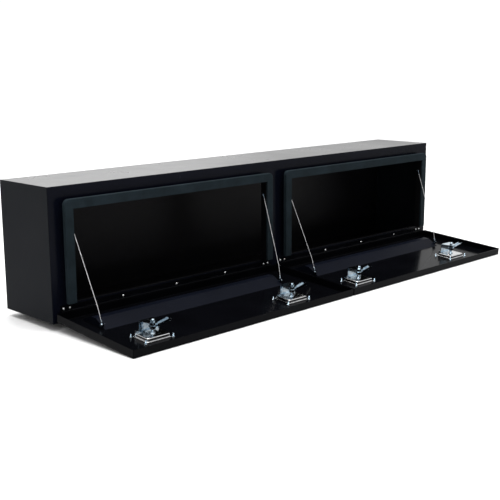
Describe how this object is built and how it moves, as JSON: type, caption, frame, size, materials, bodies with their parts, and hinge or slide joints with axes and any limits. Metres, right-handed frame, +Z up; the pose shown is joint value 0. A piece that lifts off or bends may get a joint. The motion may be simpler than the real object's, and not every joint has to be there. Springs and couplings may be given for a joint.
{
  "type": "truck tool box",
  "caption": "Long steel truck tool box with drop-down doors on full-length hinges, sealed openings, stay cables and folding T-handle latches.",
  "frame": {"origin": "centre of the base underside", "axes": "+X along the length, to the right seen from the front; -Y is the front with the doors; +Z up"},
  "size_m": [2.235, 0.748, 0.509],
  "materials": {
    "textured_black": "fine-textured black powder coat",
    "gloss_black": "gloss black powder coat",
    "satin_black": "satin black powder coat",
    "seal_rubber": "matte",
    "bright_rivet": "bright",
    "zinc": "bright blue zinc plate",
    "stainless": "polished stainless",
    "steel_cable": "stranded galvanised wire"
  },
  "bodies": {
    "root": {"left_end_panel": "textured_black", "right_end_panel": "textured_black", "back_panel": "textured_black", "top_panel": "textured_black", "bottom_panel": "textured_black", "front_panel": "gloss_black", "hinge_rivets_body": "bright_rivet", "cable_upper_bolts": "zinc", "cable_upper_eyes": "zinc", "collar_seals": "seal_rubber", "hinge_body_leaves": "gloss_black", "hinge_pins": "zinc", "left_collar": "satin_black", "right_collar": "satin_black", "left_door_left_cable": "steel_cable", "left_door_right_cable": "steel_cable", "right_door_left_cable": "steel_cable", "right_door_right_cable": "steel_cable"},
    "left_door": {"left_door_pan": "gloss_black", "left_door_stiffener": "satin_black", "left_hinge_door_leaf": "gloss_black", "left_cable_lower_bolts": "zinc", "left_cable_lower_eyes": "zinc", "left_latch_gaskets": "seal_rubber", "left_latch_brackets": "zinc", "left_latch_studs": "zinc", "latch_1_dish": "stainless", "latch_2_dish": "stainless"},
    "latch_1_turn": {"latch_1_spindle": "zinc", "latch_1_nuts": "zinc", "latch_1_pawl": "zinc", "latch_1_handle_pin": "stainless"},
    "latch_1_grip": {"latch_1_handle": "stainless"},
    "latch_2_turn": {"latch_2_spindle": "zinc", "latch_2_nuts": "zinc", "latch_2_pawl": "zinc", "latch_2_handle_pin": "stainless"},
    "latch_2_grip": {"latch_2_handle": "stainless"},
    "right_door": {"right_door_pan": "gloss_black", "right_door_stiffener": "satin_black", "right_hinge_door_leaf": "gloss_black", "right_cable_lower_bolts": "zinc", "right_cable_lower_eyes": "zinc", "right_latch_gaskets": "seal_rubber", "right_latch_brackets": "zinc", "right_latch_studs": "zinc", "latch_3_dish": "stainless", "latch_4_dish": "stainless"},
    "latch_3_turn": {"latch_3_spindle": "zinc", "latch_3_nuts": "zinc", "latch_3_pawl": "zinc", "latch_3_handle_pin": "stainless"},
    "latch_3_grip": {"latch_3_handle": "stainless"},
    "latch_4_turn": {"latch_4_spindle": "zinc", "latch_4_nuts": "zinc", "latch_4_pawl": "zinc", "latch_4_handle_pin": "stainless"},
    "latch_4_grip": {"latch_4_handle": "stainless"}
  },
  "joints": [
    {"name": "left_door_hinge", "type": "hinge", "parent": "root", "child": "left_door", "pos_m": [-0.55595, -0.1605, 0.039], "axis": [-1, 0, 0], "range_deg": [0, 94.64], "deforming": ["left_door_left_cable", "left_door_right_cable"]},
    {"name": "latch_1_turn", "type": "hinge", "parent": "left_door", "child": "latch_1_turn", "pos_m": [-0.9379, -0.47781, 0.0001], "axis": [0, 0.0809, -0.9967], "range_deg": [0, 90]},
    {"name": "latch_1_fold", "type": "hinge", "parent": "latch_1_turn", "child": "latch_1_grip", "pos_m": [-0.9379, -0.47715, -0.00807], "axis": [0, 0.9967, 0.0809], "range_deg": [0, 90]},
    {"name": "latch_2_turn", "type": "hinge", "parent": "left_door", "child": "latch_2_turn", "pos_m": [-0.242, -0.47781, 0.0001], "axis": [0, 0.0809, -0.9967], "range_deg": [0, 90]},
    {"name": "latch_2_fold", "type": "hinge", "parent": "latch_2_turn", "child": "latch_2_grip", "pos_m": [-0.242, -0.47715, -0.00807], "axis": [0, 0.9967, 0.0809], "range_deg": [0, 90]},
    {"name": "right_door_hinge", "type": "hinge", "parent": "root", "child": "right_door", "pos_m": [0.55595, -0.1605, 0.039], "axis": [-1, 0, 0], "range_deg": [0, 94.64], "deforming": ["right_door_left_cable", "right_door_right_cable"]},
    {"name": "latch_3_turn", "type": "hinge", "parent": "right_door", "child": "latch_3_turn", "pos_m": [0.174, -0.47781, 0.0001], "axis": [0, 0.0809, -0.9967], "range_deg": [0, 90]},
    {"name": "latch_3_fold", "type": "hinge", "parent": "latch_3_turn", "child": "latch_3_grip", "pos_m": [0.174, -0.47715, -0.00807], "axis": [0, 0.9967, 0.0809], "range_deg": [0, 90]},
    {"name": "latch_4_turn", "type": "hinge", "parent": "right_door", "child": "latch_4_turn", "pos_m": [0.8699, -0.47781, 0.0001], "axis": [0, 0.0809, -0.9967], "range_deg": [0, 90]},
    {"name": "latch_4_fold", "type": "hinge", "parent": "latch_4_turn", "child": "latch_4_grip", "pos_m": [0.8699, -0.47715, -0.00807], "axis": [0, 0.9967, 0.0809], "range_deg": [0, 90]}
  ]
}
